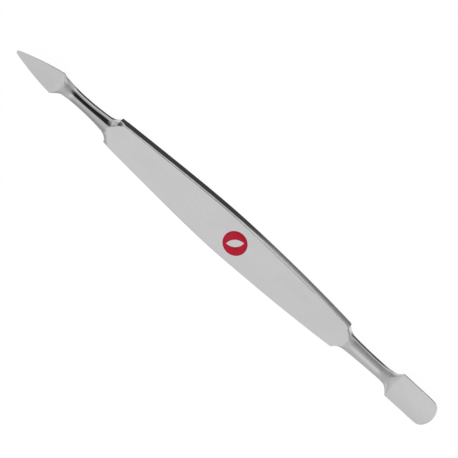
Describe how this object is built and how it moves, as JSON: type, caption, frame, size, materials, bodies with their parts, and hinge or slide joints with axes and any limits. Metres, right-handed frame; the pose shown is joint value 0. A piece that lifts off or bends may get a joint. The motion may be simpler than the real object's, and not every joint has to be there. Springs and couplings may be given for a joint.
{
  "type": "cuticle pusher",
  "caption": "Double-ended steel manicure tool: flat barrel-shaped handle, pointed spear nail cleaner at one end, spade-shaped cuticle pusher at the other.",
  "frame": {"origin": "middle of the handle's flat back face, which the tool lies on", "axes": "+X along the tool towards the cuticle pusher, +Y across the handle, +Z out of the printed front face"},
  "size_m": [0.1248, 0.0102, 0.0042],
  "materials": {
    "handle_steel": "satin",
    "tip_steel": "satin blades and polished necks",
    "braze_metal": "dull",
    "red_ink": "semi-gloss printed ink"
  },
  "bodies": {
    "root": {"handle": "handle_steel", "nail_cleaner": "tip_steel", "cuticle_pusher": "tip_steel", "nail_cleaner_braze": "braze_metal", "cuticle_pusher_braze": "braze_metal", "printed_emblem": "red_ink"}
  },
  "joints": []
}
